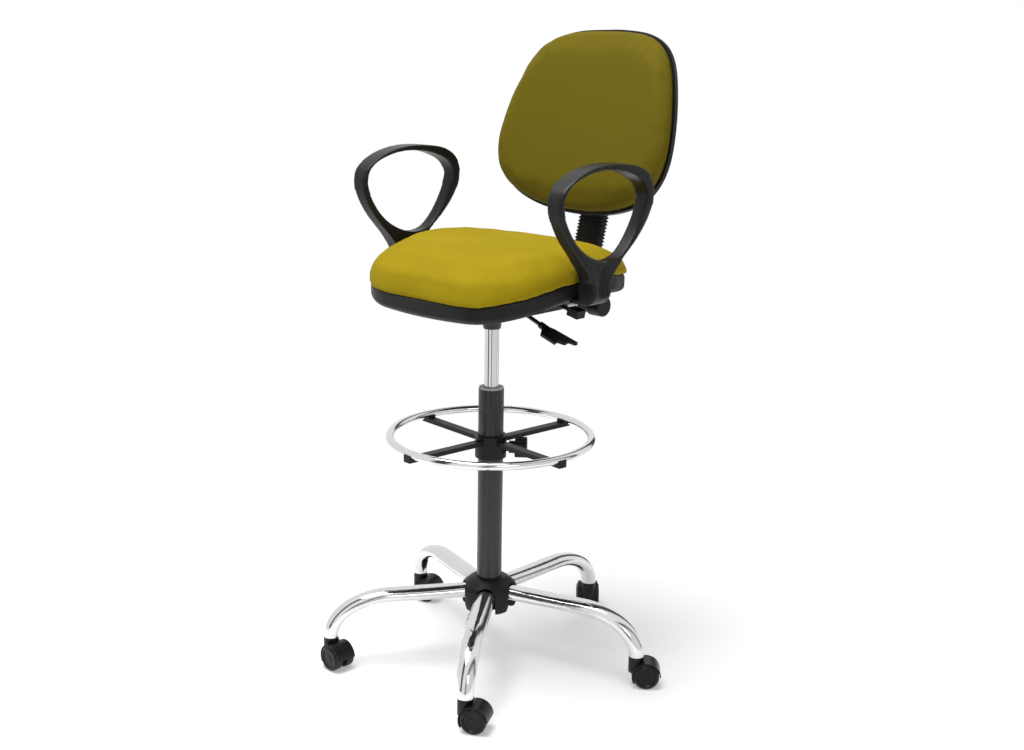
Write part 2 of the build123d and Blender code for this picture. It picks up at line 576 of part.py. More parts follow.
def shell_form():
    """Outer form of the seat's plastic under-shell."""
    form = curved_slab(0, -SHELL_DEPTH, 0)
    return fillet(bottom_edges(form), SHELL_EDGE_R)


def make_seat(holes):
    """Under-shell, moulded board and cushion."""
    form = shell_form()
    inner = curved_slab(SHELL_WALL, -SHELL_DEPTH + SHELL_WALL, 5)
    shell = form - fillet(bottom_edges(inner), SHELL_EDGE_R - SHELL_WALL)
    under_board = arched_prism(seam_arc(-200), seam_arc(-BOARD_T))
    pad = block(-PLATE_HALF_X, PLATE_HALF_X, PLATE_FRONT, PLATE_REAR, MECH_TOP + PLATE_T, SEAM_Z)
    shell += pad & under_board
    shell -= block(-PLATE_HALF_X - 1, PLATE_HALF_X + 1, PLATE_FRONT - 1, PLATE_REAR + 1,
                   MECH_LOW, MECH_TOP + PLATE_T)
    shell -= block(-MECH_HALF_W - 1, MECH_HALF_W + 1, 0, PIVOT_Y + 12, MECH_LOW, MECH_TOP + PLATE_T)
    board = curved_slab(SHELL_WALL + 1, -BOARD_T, 0)
    for x, y in holes:
        cutter = rod(3.0, (x, y, MECH_TOP), (x, y, MECH_TOP + 26))
        shell -= cutter
        board -= cutter
    keep("seat_shell", shell)
    keep("seat_board", board)
    crown = seam_arc(CUSHION_T, 0.65 * SEAM_RISE, 0.75 * SEAM_ARCH)
    outline = Pos(0, 0, SEAM_Z - 200) * extrude(seat_outline(1.5 - CUSHION_BULGE), 400)
    cushion = outline & arched_prism(seam_arc(0), crown)
    keep("seat_cushion", fillet(top_edges(cushion), CUSHION_EDGE_R))
    return form


# ---------------------------------------------------------------- armrests

def arm_solid(seat_form):
    """Left armrest: a loop, a ribbed stem and a foot that curls under the seat."""
    outer = Spline(*ARM_OUTER)
    low_front, low_rear = (STEM_FRONT, 790.0), (STEM_REAR, 790.0)
    neck = (Line(outer @ 1, low_rear) + Line(low_rear, low_front) + Line(low_front, outer @ 0))
    loop = side_profile(make_face(outer + neck), ARM_X - ARM_W / 2, ARM_X + ARM_W / 2)
    hole = side_profile(make_face(Spline(*ARM_HOLE, periodic=True)), ARM_X - 60, ARM_X + 60)
    loop = (loop - hole) & arm_width_form()
    # The foot: the stem's lower end bends inwards on a quarter circle.
    x_out, x_in = ARM_X + ARM_W / 2, ARM_X - ARM_W / 2
    bend = FOOT_BEND
    foot_face = make_face(
        Polyline((x_in, 792), (x_out, 792), (x_out, FOOT_LOW + bend))
        + CenterArc((x_out - bend, FOOT_LOW + bend), bend, 0, -90)
        + Polyline((x_out - bend, FOOT_LOW), (FOOT_REACH, FOOT_LOW), (FOOT_REACH, FOOT_LOW + FOOT_T),
                   (x_in, FOOT_LOW + FOOT_T), (x_in, 792)))
    foot = extrude(Plane.XZ * foot_face, -(STEM_REAR - STEM_FRONT))
    foot = Pos(0, STEM_FRONT, 0) * foot
    toe = block(FOOT_REACH, FOOT_REACH + 46, STEM_FRONT - 22, STEM_REAR + 22, FOOT_LOW, FOOT_LOW + FOOT_T)
    arm = loop + foot + toe
    pocket = side_profile(make_face(Polyline(
        (STEM_FRONT + 14, 836), (STEM_REAR - 5, 836), (STEM_REAR - 9, 782), (STEM_FRONT + 12, 782),
        (STEM_FRONT + 14, 836))), x_out - 7, x_out + 10)
    arm = arm - pocket - seat_form
    return arm


def arm_width_form():
    """The band's width against height, as a prism along Y."""
    right = [(ARM_X + width / 2, z) for z, width in ARM_BANDS]
    left = [(ARM_X - width / 2, z) for z, width in reversed(ARM_BANDS)]
    face = make_face(Polyline(*right, *left, close=True))
    return Pos(0, 300, 0) * extrude(Plane.XZ * face, 600)


def arm_screw_places():
    """Where the three screws of a foot go through, on the left side."""
    return [(FOOT_REACH + 14, STEM_FRONT - 10), (FOOT_REACH + 14, STEM_REAR + 10),
            (FOOT_REACH + 34, (STEM_FRONT + STEM_REAR) / 2)]


def make_arms(seat_form):
    """Both armrests and the screws that hold them."""
    arm = arm_solid(seat_form)
    screws = []
    for x, y in arm_screw_places():
        shank = rod(3.0, (x, y, FOOT_LOW), (x, y, FOOT_LOW + 30))
        head = rod(6.5, (x, y, FOOT_LOW - 4), (x, y, FOOT_LOW))
        arm -= shank
        screws.append(shank + head)
    right_screws = [mirror(screw, Plane.YZ) for screw in screws]
    keep("armrest_left", arm)
    keep("armrest_right", mirror(arm, Plane.YZ) - seat_form)
    keep("arm_screws", group(screws + right_screws))
    for name in ("seat_shell", "seat_board"):
        part = PARTS[name]
        for screw in screws + right_screws:
            part -= screw
        keep(name, part)


# ---------------------------------------------------------------- back

def back_plane(offset, along=0.0):
    """Plane parallel to the back's front face: X sideways, Y up the lean, Z to the rear."""
    lean = radians(BACK_LEAN)
    up = Vector(0, sin(lean), cos(lean))
    rear = Vector(0, cos(lean), -sin(lean))
    origin = Vector(0, BACK_Y, BACK_Z) + up * along + rear * offset
    return Plane(origin=origin, x_dir=(-1, 0, 0), z_dir=rear)


def back_outline(inset):
    """The back's outline, mirrored about its centreline."""
    half = [(x - inset * x / 219, y - inset * (1 if y > 60 else -1) * abs(y - 60) / 190)
            for x, y in BACK_HALF]
    right = [(0, BACK_CROWN - inset)] + half + [(0, BACK_FOOT + inset)]
    left = [(-x, y) for x, y in reversed(half)]
    return make_face(Spline(*(right + left), periodic=True))


def back_band(front, rear):
    """A slab that curves round the sitter, between two depths at the rim."""
    arcs = []
    for depth in (front, rear):
        middle = (0, depth + BACK_HOLLOW)
        arcs.append(ThreePointArc((-BACK_REACH, depth + BACK_HOLLOW - BACK_RISE), middle,
                                  (BACK_REACH, depth + BACK_HOLLOW - BACK_RISE)))
    sides = [Line(arcs[0] @ 1, arcs[1] @ 1), Line(arcs[1] @ 0, arcs[0] @ 0)]
    face = make_face(arcs[0] + sides[0] + arcs[1] + sides[1])
    up = back_plane(0).y_dir
    place = Plane(origin=back_plane(0, -300).origin, x_dir=(1, 0, 0), z_dir=up)
    return extrude(place * face, 700)


def back_layer(inset, front, rear):
    """One layer of the back: the outline, curved, between two depths."""
    prism = extrude(back_plane(-200) * back_outline(inset), 500)
    return prism & back_band(front, rear)


def make_back():
    """Cushion, board and rear shell of the back."""
    cushion = back_layer(1.0, BACK_CUSHION_FRONT, BACK_SEAM)
    front = cushion.faces().sort_by(Axis.Y)[0]
    keep("back_cushion", fillet(front.edges(), BACK_EDGE_R))
    shell = back_layer(2.0, BACK_SEAM, BACK_SEAM + BACK_SHELL_T)
    rear_face = shell.faces().sort_by(Axis.Y)[-1]
    shell = chamfer(rear_face.edges(), BACK_SHELL_CHAMFER)
    shell -= back_layer(2.0 + BACK_SHELL_WALL, BACK_SEAM - 2, BACK_SEAM + BACK_BOARD_T)
    keep("back_shell", shell)
    keep("back_board", back_layer(3.0 + BACK_SHELL_WALL, BACK_SEAM, BACK_SEAM + BACK_BOARD_T))


def bar_centre(along):
    """A point of the bar's centreline, measured up the lean."""
    return back_plane(BAR_OFFSET, along).origin


def bar_path():
    """Centreline of the bar: level from the pivot, round the bend and up the lean."""
    lean = radians(BACK_LEAN)
    top = bar_centre(BAR_TOP)
    rise = top.Z - PIVOT_Z
    corner = Vector(0, top.Y - rise * tan(lean), PIVOT_Z)
    start = (PIVOT_Y + SLEEVE_R - 3, PIVOT_Z)
    return FilletPolyline(start, (corner.Y, corner.Z), (top.Y, top.Z), radius=BAR_BEND_R)


def make_bar():
    """The J-shaped flat bar with its pivot sleeve."""
    path = bar_path()
    strip = trace(path, BAR_T)
    bar = side_profile(strip, -BAR_W / 2, BAR_W / 2)
    span = BAR_W / 2 + 14
    sleeve = rod(SLEEVE_R, (-span, PIVOT_Y, PIVOT_Z), (span, PIVOT_Y, PIVOT_Z))
    bar = bar + sleeve - rod(PIVOT_R + RUN_FIT, (-90, PIVOT_Y, PIVOT_Z), (90, PIVOT_Y, PIVOT_Z))
    keep("back_bar", bar)


def lean_box(x0, x1, a0, a1, n0, n1):
    """A box in the leaning frame: sideways, up the lean, and rearwards from the front plane."""
    place = back_plane((n0 + n1) / 2, (a0 + a1) / 2)
    return place * Pos(-(x0 + x1) / 2, 0, 0) * Box(x1 - x0, a1 - a0, n1 - n0)


def make_back_hardware():
    """Height bracket, its knob and screws, and the bellows round the bar."""
    half = BRACKET_W / 2
    board_front = BACK_SEAM + BACK_HOLLOW
    shell_rear = board_front + BACK_SHELL_T
    slot_front = BAR_OFFSET - BAR_T / 2 - FREE_GAP
    slot_rear = BAR_OFFSET + BAR_T / 2 + FREE_GAP
    body = lean_box(-half, half, BRACKET_LOW, BRACKET_TOP, shell_rear, slot_rear + 7)
    slot = lean_box(-BAR_W / 2 - FREE_GAP, BAR_W / 2 + FREE_GAP, BRACKET_LOW - 1,
                    BAR_TOP + 70, slot_front, slot_rear)
    hollow = lean_box(-half + 5, half - 5, BRACKET_LOW - 1, BRACKET_TOP - 5,
                      shell_rear + 14, slot_front - 3)
    knob_at = (BRACKET_LOW + BRACKET_TOP) / 2
    place = back_plane(0, knob_at)
    screw_r = 4.0

    def pin(radius, n0, n1):
        return place * Pos(0, 0, n0) * Cylinder(radius, n1 - n0,
                                                align=(Align.CENTER, Align.CENTER, Align.MIN))

    bracket = body - slot - hollow
    bracket -= pin(screw_r + RUN_FIT, slot_rear - 1, slot_rear + 20)
    keep("back_bracket", bracket)
    screws = []
    for x in (-30, 30):
        for a in (BRACKET_LOW + 14, BRACKET_TOP - 14):
            spot = back_plane(0, a)
            shank = spot * Pos(x, 0, board_front) * Cylinder(
                3.0, shell_rear + 14 - board_front,
                align=(Align.CENTER, Align.CENTER, Align.MIN))
            head = spot * Pos(x, 0, shell_rear + 14) * Cylinder(
                5.5, 4, align=(Align.CENTER, Align.CENTER, Align.MIN))
            screws.append(shank + head)
    keep("back_screws", group(screws))
    for name in ("back_board", "back_shell", "back_bracket"):
        part = PARTS[name]
        for screw in screws:
            part -= screw
        keep(name, part)
    shaft = pin(screw_r, slot_rear + FREE_GAP, slot_rear + 22)
    boss = pin(BACK_KNOB_R - 7, slot_rear + 7 + FREE_GAP, slot_rear + 16)
    head = pin(BACK_KNOB_R, slot_rear + 14, slot_rear + 34)
    head = fillet(head.edges(), 3.0)
    keep("back_height_knob", shaft + boss + head)

    # Corrugated sleeve: two zig-zag prisms crossed, hollow for the bar.
    count = int((BRACKET_LOW - BELLOWS_LOW) / BELLOWS_PITCH)
    top = BELLOWS_LOW + count * BELLOWS_PITCH

    def zigzag(half_width):
        right = []
        for k in range(count):
            a = BELLOWS_LOW + k * BELLOWS_PITCH
            right += [(half_width - BELLOWS_FOLD, a), (half_width, a + BELLOWS_PITCH / 2)]
        right.append((half_width - BELLOWS_FOLD, top))
        left = [(-x, a) for x, a in reversed(right)]
        return make_face(Polyline(*right, *left, close=True))

    wide = extrude(back_plane(BAR_OFFSET - 40) * zigzag(BELLOWS_W / 2), 80)
    side = Plane(origin=bar_centre(0) + Vector(-50, 0, 0),
                 x_dir=back_plane(0).z_dir, z_dir=(1, 0, 0))
    deep = extrude(side * zigzag(BELLOWS_T / 2), 100)
    core = lean_box(-BELLOWS_W / 2 + 5, BELLOWS_W / 2 - 5, BELLOWS_LOW - 1, top + 1,
                    BAR_OFFSET - BELLOWS_T / 2 + 5, BAR_OFFSET + BELLOWS_T / 2 - 5)
    keep("back_bellows", (wide & deep) - core)


make_base()
make_gas_lift()
make_foot_ring()
bolt_holes = make_mechanism()
make_levers()
seat_body = make_seat(bolt_holes)
make_arms(seat_body)
make_back()
make_bar()
make_back_hardware()

os.makedirs("parts", exist_ok=True)
for name, shape in PARTS.items():
    export_step(shape, os.path.join("parts", name + ".step"))
print(len(PARTS), "sub-parts")
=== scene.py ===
# %% [markdown]
# # A drafting chair, dressed
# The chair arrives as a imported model: every rigid part already has its true size
# and place, and it moves on its own joints. This script never moves those parts.
# It gives them finishes, and makes the pieces that foam, fabric and moulded
# plastic need: the two cushions, the loop armrests and the folding sleeve.

# %% Load the frame
import json
import math

import bmesh
import bpy
from mathutils import Matrix, Vector


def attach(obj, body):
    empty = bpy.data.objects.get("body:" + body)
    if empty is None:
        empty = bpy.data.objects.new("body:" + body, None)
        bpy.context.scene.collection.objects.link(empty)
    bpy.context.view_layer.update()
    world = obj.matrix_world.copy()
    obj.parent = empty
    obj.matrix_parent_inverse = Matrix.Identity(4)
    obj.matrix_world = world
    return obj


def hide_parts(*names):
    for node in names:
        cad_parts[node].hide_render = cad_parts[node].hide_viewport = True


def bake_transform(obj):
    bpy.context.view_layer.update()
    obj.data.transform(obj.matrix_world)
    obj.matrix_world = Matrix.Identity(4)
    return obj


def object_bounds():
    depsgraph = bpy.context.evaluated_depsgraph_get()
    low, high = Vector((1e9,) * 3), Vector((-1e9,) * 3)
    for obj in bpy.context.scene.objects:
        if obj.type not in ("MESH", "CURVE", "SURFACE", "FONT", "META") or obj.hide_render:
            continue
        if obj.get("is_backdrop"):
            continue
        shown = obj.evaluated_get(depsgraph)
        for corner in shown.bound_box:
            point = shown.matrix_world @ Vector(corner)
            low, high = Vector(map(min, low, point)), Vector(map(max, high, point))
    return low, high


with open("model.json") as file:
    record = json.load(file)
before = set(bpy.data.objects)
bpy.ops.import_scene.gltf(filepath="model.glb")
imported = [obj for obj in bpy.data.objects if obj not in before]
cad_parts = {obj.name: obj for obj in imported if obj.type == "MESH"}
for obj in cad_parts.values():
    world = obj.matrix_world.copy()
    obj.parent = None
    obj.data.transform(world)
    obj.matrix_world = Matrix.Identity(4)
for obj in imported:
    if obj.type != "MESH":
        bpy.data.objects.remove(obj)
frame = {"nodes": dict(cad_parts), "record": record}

NODES = frame["nodes"]
CAD_LOW, CAD_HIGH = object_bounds()
print("chair, metres:", [round(v, 3) for v in CAD_HIGH - CAD_LOW])
print("made of", len(NODES), "nodes")

# %% [markdown]
# ## The camera
# A camera is an object whose local -Z looks ahead and whose local Y is up. It could
# be turned by Euler angles, but three direction vectors are easier to check: a
# heading, a small yaw, a pitch down and a slight roll, each applied to the last.

# %% Camera
HEADING, YAW, PITCH, ROLL = (math.radians(a) for a in (43.35, 0.88, 14.12, 0.89))
EYE = Vector((1.7992, -1.9062, 1.2481))
LENS, SENSOR = 48.65, 36.0


def turned(first, second, angle):
    """Two directions at right angles, turned towards each other."""
    c, s = math.cos(angle), math.sin(angle)
    return first * c + second * s, second * c - first * s


ahead = Vector((-math.sin(HEADING), math.cos(HEADING), 0))
side = Vector((math.cos(HEADING), math.sin(HEADING), 0))
ahead, side = turned(ahead, side, YAW)
ahead, up = turned(ahead, Vector((0, 0, 1)), -PITCH)
side, up = turned(side, up, ROLL)

camera = bpy.data.objects.new("camera", bpy.data.cameras.new("camera"))
bpy.context.scene.collection.objects.link(camera)
camera.matrix_world = Matrix((
    (side.x, up.x, -ahead.x, EYE.x),
    (side.y, up.y, -ahead.y, EYE.y),
    (side.z, up.z, -ahead.z, EYE.z),
    (0, 0, 0, 1)))
camera.data.lens = LENS
camera.data.sensor_width = SENSOR
bpy.context.scene.camera = camera
print("camera looks along", [round(v, 3) for v in ahead])

# %% [markdown]
# ## A small language for finishes
# A shader is a graph of nodes. Wired by hand, even `1 - mask` takes four lines, so
# `Value` wraps one socket and lets Python's own operators add the Math nodes.
# `Finish` holds one material, and its `add` makes any other node.

# %% Values that do sums
class Value:
    """One socket of a material, usable in sums."""

    def __init__(self, finish, socket):
        self.finish, self.socket = finish, socket

    def sum(self, operation, first, second):
        return self.finish.add("ShaderNodeMath", {"operation": operation},
                               {0: first, 1: second})

    def __add__(self, other):
        return self.sum("ADD", self, other)

    def __sub__(self, other):
        return self.sum("SUBTRACT", self, other)

    def __rsub__(self, other):
        return self.sum("SUBTRACT", other, self)

    def __mul__(self, other):
        return self.sum("MULTIPLY", self, other)

    def __truediv__(self, other):
        return self.sum("DIVIDE", self, other)

    def __pow__(self, other):
        return self.sum("POWER", self, other)

    __radd__ = __add__
    __rmul__ = __mul__

    def sine(self):
        return self.sum("SINE", self, 0.0)


# %% Finishes
class Finish:
    """A material under construction."""

    def __init__(self, name):
        self.material = bpy.data.materials.new(name)
        self.material.use_nodes = True
        self.tree = self.material.node_tree
        self.tree.nodes.clear()

    def add(self, kind, settings=None, inputs=None, output=0):
        """Adds a node: its settings first, then the values or links of its sockets."""
        node = self.tree.nodes.new(kind)
        settings = dict(settings or {})
        stops = settings.pop("stops", None)
        for name, value in settings.items():
            setattr(node, name, value)
        if stops:
            ramp = node.color_ramp
            while len(ramp.elements) < len(stops):
                ramp.elements.new(0.5)
            for element, (place, colour) in zip(ramp.elements, stops):
                element.position, element.color = place, (*colour, 1.0)
        for key, value in (inputs or {}).items():
            if isinstance(value, Value):
                self.tree.links.new(value.socket, node.inputs[key])
            else:
                node.inputs[key].default_value = value
        return Value(self, node.outputs[output])

    def place(self):
        """Where the point is on the object, in metres."""
        return self.add("ShaderNodeTexCoord", output="Object")

    def axes(self):
        """The point's X, Y and Z as three values."""
        first = self.add("ShaderNodeSeparateXYZ", inputs={0: self.place()})
        outputs = first.socket.node.outputs
        return [Value(self, outputs[k]) for k in range(3)]

    def noise(self, grain, detail=3.0, stretch=(1.0, 1.0, 1.0)):
        """Noise whose lumps are about one grain wide, in metres."""
        spot = self.add("ShaderNodeMapping",
                        inputs={"Vector": self.place(), "Scale": stretch})
        return self.add("ShaderNodeTexNoise", inputs={
            "Vector": spot, "Scale": 1.0 / grain, "Detail": detail, "Roughness": 0.55})

    def mix(self, share, first, second):
        """Two colours, mixed."""
        return self.add("ShaderNodeMix", {"data_type": "RGBA"},
                        {0: share, 6: first, 7: second}, 2)

    def ramp(self, value, *stops):
        """A value turned into a colour."""
        return self.add("ShaderNodeValToRGB", {"stops": stops}, {0: value})

    def bump(self, height, depth, strength=1.0, under=None):
        """Surface relief of a given depth in metres."""
        inputs = {"Height": height, "Distance": depth, "Strength": strength}
        if under:
            inputs["Normal"] = under
        return self.add("ShaderNodeBump", inputs=inputs)

    def close(self, **sockets):
        """Ends the material in one shader. Underscores stand for spaces."""
        names = {key.replace("_", " "): value for key, value in sockets.items()}
        surface = self.add("ShaderNodeBsdfPrincipled", inputs=names)
        end = self.tree.nodes.new("ShaderNodeOutputMaterial")
        self.tree.links.new(surface.socket, end.inputs["Surface"])
        return self.material


def rgb(red, green, blue):
    """A colour socket's value."""
    return (red, green, blue, 1.0)


# %% [markdown]
# ## Metals
# The legs, the hoop and the gas cylinder are chromed tube: a mirror with faint
# polishing marks, so only its roughness wanders. Small fixings are zinc plated,
# with a duller, blotchy skin. Pressed steel is powder coated: satin black with the
# slight orange peel of baked powder.

# %% Metal finishes
def chrome():
    f = Finish("chrome")
    haze = f.noise(0.06, 4.0)
    marks = f.noise(0.0012, 2.0, (1.0, 1.0, 0.04))
    tone = f.mix(haze, rgb(0.66, 0.67, 0.69), rgb(0.80, 0.81, 0.82))
    return f.close(Base_Color=tone, Metallic=1.0, Roughness=0.05 + 0.09 * haze,
                   Normal=f.bump(marks, 0.00002, 0.5))


def zinc():
    f = Finish("zinc plate")
    blotch = f.noise(0.004, 4.0)
    tone = f.mix(blotch, rgb(0.42, 0.42, 0.41), rgb(0.62, 0.61, 0.58))
    return f.close(Base_Color=tone, Metallic=0.9, Roughness=0.28 + 0.2 * blotch,
                   Normal=f.bump(f.noise(0.0006), 0.00003, 0.5))


def powder_coat():
    f = Finish("black powder coat")
    peel = f.noise(0.0018, 2.0)
    dust = f.noise(0.03, 4.0)
    tone = f.mix(dust, rgb(0.004, 0.004, 0.0045), rgb(0.011, 0.011, 0.0115))
    return f.close(Base_Color=tone, Roughness=0.30 + 0.14 * dust,
                   Normal=f.bump(peel, 0.00008, 0.6), Coat_Weight=0.15)


chrome_skin, zinc_skin, steel_skin = chrome(), zinc(), powder_coat()
print("metals:", chrome_skin.name, zinc_skin.name, steel_skin.name)

# %% [markdown]
# ## Moulded plastics
# Every black moulding is spark-textured: a fine, even grain that breaks up
# highlights. One function makes them all, because they differ only in grain size,
# gloss and how much paler their worn patches are.

# %% Plastic finishes
def moulding(name, dark, pale, grain, relief, gloss):
    f = Finish(name)
    pebble = f.noise(grain, 2.0)
    wear = f.noise(0.045, 5.0)
    speck = f.noise(0.0035, 2.0)
    share = 0.75 * wear + 0.25 * speck
    tone = f.mix(share, rgb(*dark), rgb(*pale))
    return f.close(Base_Color=tone, Roughness=gloss + 0.16 * wear,
                   Normal=f.bump(pebble, relief, 0.6), Specular_IOR_Level=0.24)


shell_skin = moulding("shell plastic", (0.004, 0.004, 0.0045), (0.012, 0.0115, 0.0125),
                      0.0007, 0.00007, 0.34)
arm_skin = moulding("arm plastic", (0.0045, 0.0045, 0.005), (0.013, 0.0125, 0.0135),
                    0.0008, 0.00008, 0.27)
knob_skin = moulding("knob plastic", (0.003, 0.003, 0.0035), (0.010, 0.010, 0.0105),
                     0.0006, 0.00006, 0.34)
castor_skin = moulding("castor plastic", (0.0025, 0.0025, 0.003), (0.008, 0.008, 0.009),
                       0.0005, 0.00003, 0.22)
bush_skin = moulding("grey plastic", (0.42, 0.42, 0.41), (0.55, 0.55, 0.54),
                     0.0006, 0.00004, 0.35)
sleeve_skin = moulding("sleeve rubber", (0.003, 0.003, 0.003), (0.009, 0.009, 0.009),
                       0.0009, 0.00006, 0.5)
print("plastics made")

# %% [markdown]
# ## Upholstery
# Both cushions wear a flat woven cloth in mustard. A weave could be an image, but a
# product of two sine waves gives the same over-and-under threads at their true
# pitch on any shape. Slower noise adds the slubs of the yarn and the faint patches
# that use leaves. Sheen stands for the fuzz that catches light at the edges. The
# back's copy is painted darker, as painted shade, because less light falls on it.

# %% Cloth finish
THREAD = 0.0017


def cloth(name, deep, bright, worn, sheen):
    f = Finish(name)
    x, y, z = f.axes()
    turns = 2 * math.pi / THREAD
    warp = ((x + 0.55 * z) * turns).sine()
    weft = ((y + 0.80 * z) * turns).sine()
    threads = 0.5 + 0.5 * (warp * weft)
    slub = f.noise(0.0022, 3.0, (1.0, 0.3, 0.6))
    patch = f.noise(0.11, 3.0)
    body = f.mix(0.45 * threads + 0.55 * slub, rgb(*deep), rgb(*bright))
    rubbed = f.ramp(patch, (0.42, (0, 0, 0)), (0.75, (1, 1, 1)))
    tone = f.mix(0.35 * rubbed, body, rgb(*worn))
    relief = f.bump(threads, 0.00025, 0.6, f.bump(slub, 0.0004, 0.4))
    return f.close(Base_Color=tone, Roughness=0.82 + 0.12 * slub, Normal=relief,
                   Sheen_Weight=sheen, Sheen_Roughness=0.45,
                   Sheen_Tint=rgb(0.95, 0.85, 0.35), Specular_IOR_Level=0.12)


seat_cloth = cloth("seat cloth", (0.215, 0.158, 0.002), (0.37, 0.272, 0.004),
                   (0.40, 0.295, 0.007), 0.02)
# Painted shade: the back's cloth is a darker copy of the seat's, standing in for the light it
# gets less of.
back_cloth_with_painted_shade = cloth("back cushion cloth darkened as painted shade", (0.090, 0.070, 0.003), (0.155, 0.122, 0.005),
                   (0.135, 0.108, 0.005), 0.02)
print("cloth threads every", THREAD * 1000, "mm")

# %% [markdown]
# ## Cloth round the boards
# Behind each cushion is a plywood board. Bare wood could show at the seam, but the
# cover is drawn round the board's edge and stapled behind it, so the boards wear
# the same cloth, painted darker as painted shade so the seam reads as shadow.

# %% Cloth wrapped round the boards
# Painted shade: a darker copy of the cloth, so the seam between cushion and shell reads as
# shadow.
board_cloth_painted_shade = cloth("board cloth darkened as painted seam shade", (0.050, 0.038, 0.002),
                  (0.085, 0.066, 0.003), (0.075, 0.058, 0.003), 0.02)
print("boards wear", board_cloth_painted_shade.name)

# %% [markdown]
# ## Dressing the rigid parts
# A CAD node keeps its mesh. Only what its material slots hold changes, so a table
# from record slot to finish dresses all of them in one loop.

# %% Dress the CAD nodes
DRESS = {
    "chrome": chrome_skin, "zinc_steel": zinc_skin, "black_steel": steel_skin,
    "black_plastic": knob_skin, "shell_plastic": shell_skin, "grey_plastic": bush_skin,
    "bellows_plastic": sleeve_skin, "castor_plastic": castor_skin, "plywood": board_cloth_painted_shade,
    "seat_fabric": seat_cloth, "back_fabric": back_cloth_with_painted_shade,
}
slot_of = {part["node"]: part["material_slot"] for part in frame["record"]["subparts"]}
for name, node in NODES.items():
    node.data.materials.clear()
    node.data.materials.append(DRESS[slot_of[name]])
print("dressed", len(NODES), "nodes")


# %% [markdown]
# ## Starting a soft or moulded piece from its node
# A detailed piece must sit exactly where its node is. Drawing it again from numbers
# would work, but copying the node's own mesh is surer. The copy is loose triangles,
# so its doubles are merged first. A voxel remesh then gives even quads that can
# bend, and a few smoothing passes take off the steps.

# %% Helpers for meshes
def new_piece(name, mesh, material):
    """Links a mesh as an object with one material and smooth faces."""
    piece = bpy.data.objects.new(name, mesh)
    bpy.context.scene.collection.objects.link(piece)
    mesh.materials.clear()
    mesh.materials.append(material)
    for face in mesh.polygons:
        face.use_smooth = True
    return piece


def settled(piece):
    """The piece's mesh with its modifiers worked in, and the modifiers removed."""
    shown = piece.evaluated_get(bpy.context.evaluated_depsgraph_get())
    mesh = bpy.data.meshes.new_from_object(shown)
    piece.modifiers.clear()
    piece.data = mesh
    return mesh


def remeshed(node, name, material, voxel, inset=0.0, passes=6):
    """A copy of a node in even quads, drawn in by the inset."""
    shape = bmesh.new()
    shape.from_mesh(NODES[node].data)
    bmesh.ops.remove_doubles(shape, verts=shape.verts, dist=0.00005)
    mesh = bpy.data.meshes.new(name)
    shape.to_mesh(mesh)
    shape.free()
    piece = new_piece(name, mesh, material)
    grid = piece.modifiers.new("even quads", "REMESH")
    grid.mode, grid.voxel_size, grid.use_smooth_shade = "VOXEL", voxel, True
    ease = piece.modifiers.new("ease", "SMOOTH")
    ease.factor, ease.iterations = 0.5, passes
    mesh = settled(piece)
    if inset:
        moves = [v.normal * -inset for v in mesh.vertices]
        for vertex, move in zip(mesh.vertices, moves):
            vertex.co += move
    for face in mesh.polygons:
        face.use_smooth = True
    return piece


# %% [markdown]
# ## Cushions
# Each cushion is moulded foam under stretched cloth. Vertex moves could fake the
# crown, but blowing the cover up with cloth pressure finds the crown and the tight
# shoulders by itself. The face against the board is pinned, gravity is off, and no
# point may travel further than a cap, so the cushion keeps its size. Smoothing then
# rounds the cover, and its edge is tucked down on to the seam, where a stapled
# cover goes.

# %% Blow a cushion up
FRAMES = 20


def blown(piece, held, pressure, cap):
    """Runs cloth with pressure on the piece, then limits how far each point went."""
    start = [v.co.copy() for v in piece.data.vertices]
    grip = piece.vertex_groups.new(name="held")
    grip.add([index for index, pinned in enumerate(held) if pinned], 1.0, "REPLACE")
    cloth_step = piece.modifiers.new("blow up", "CLOTH")
    stuff = cloth_step.settings
    stuff.quality, stuff.mass = 6, 0.3
    stuff.tension_stiffness, stuff.compression_stiffness, stuff.shear_stiffness = 12, 12, 4
    stuff.bending_stiffness = 2.0
    stuff.use_pressure, stuff.uniform_pressure_force = True, pressure
    stuff.vertex_group_mass = "held"
    stuff.effector_weights.gravity = 0.0
    cloth_step.collision_settings.use_collision = False
    cloth_step.point_cache.frame_start, cloth_step.point_cache.frame_end = 1, FRAMES
    for step in range(1, FRAMES + 1):
        bpy.context.scene.frame_set(step)
    mesh = settled(piece)
    bpy.context.scene.frame_set(1)
    farthest = 0.0
    for vertex, before in zip(mesh.vertices, start):
        move = vertex.co - before
        farthest = max(farthest, move.length)
        if move.length > cap:
            vertex.co = before + move.normalized() * cap
    print(piece.name, "swelled", round(1000 * farthest, 1), "mm, kept to", 1000 * cap)


# %% Round a cushion, spread it and tuck it in
def tuck(piece, inward, seam, reach, depth):
    """Draws the cover's edge on towards the shell, most at the seam itself."""
    for vertex in piece.data.vertices:
        near = 1.0 - abs(seam(vertex.co)) / reach
        if near > 0:
            vertex.co += inward * (depth * near)


def spread(piece, seam, centre, wide, low):
    """Lets the pad bulge out over its rim, and sink by the same stuffing."""
    for vertex in piece.data.vertices:
        height = max(seam(vertex.co), 0.0)
        vertex.co.x += wide * (vertex.co.x - centre.x)
        vertex.co.y += wide * (vertex.co.y - centre.y)
        vertex.co.z -= low * height


def finish_cushion(piece, passes):
    """Rounds the cover, then one subdivision, worked in, and smooth faces."""
    ease = piece.modifiers.new("ease", "SMOOTH")
    ease.factor, ease.iterations = 0.5, passes
    finer = piece.modifiers.new("finer", "SUBSURF")
    finer.levels = finer.render_levels = 1
    mesh = settled(piece)
    for face in mesh.polygons:
        face.use_smooth = True
    print(piece.name, len(mesh.polygons), "faces")


